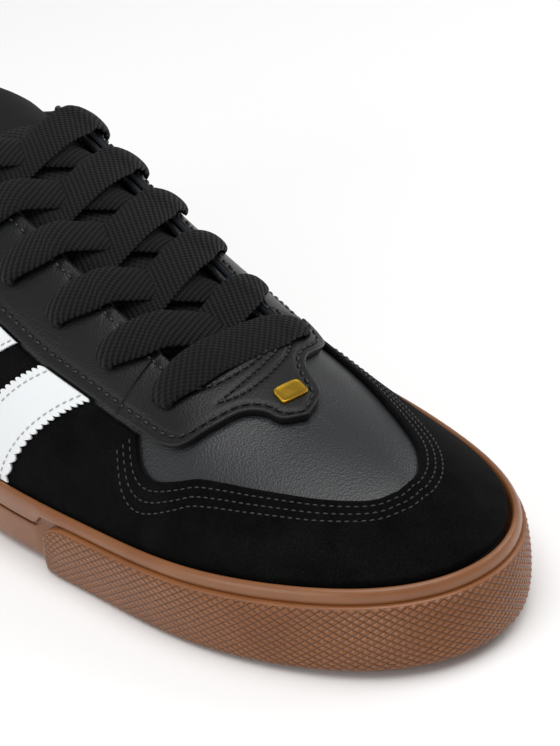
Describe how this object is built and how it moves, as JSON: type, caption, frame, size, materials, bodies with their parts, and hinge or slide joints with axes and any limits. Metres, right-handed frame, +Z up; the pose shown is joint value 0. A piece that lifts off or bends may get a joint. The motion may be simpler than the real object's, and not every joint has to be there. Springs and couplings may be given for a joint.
{
  "type": "skateboarding shoe",
  "caption": "Low skateboarding shoe for the right foot: gum cupsole with toe bumper, hollow padded upper, tongue, insole, suede and leather overlays and flat laces.",
  "frame": {"origin": "centre of the bounding box in plan, on the plane of the tread", "axes": "+Y from heel to toe, +X towards the outer side of the right foot, +Z up"},
  "size_m": [0.1088, 0.3002, 0.0974],
  "materials": {
    "gum_rubber": "matte moulded gum rubber with a glossier rim",
    "black_suede": "napped black suede",
    "black_leather": "fine grained black leather with a soft sheen",
    "white_leather": "smooth white leather with pinked edges",
    "mesh_fabric": "black spacer mesh",
    "lining_fabric": "black knitted lining",
    "lace_fabric": "flat woven black polyester",
    "gold_metal": "brushed gold tone plate"
  },
  "bodies": {
    "root": {"cupsole": "gum_rubber", "toe_bumper": "gum_rubber", "insole": "lining_fabric", "upper": "black_leather", "tongue": "mesh_fabric", "suede_toe_and_sides": "black_suede", "heel_counter": "black_suede", "eyestay": "black_leather", "lace_crossings": "lace_fabric", "badge_plate": "gold_metal", "wide_band_outer": "white_leather", "narrow_band_outer": "white_leather", "wide_band_inner": "white_leather", "narrow_band_inner": "white_leather"}
  },
  "joints": []
}
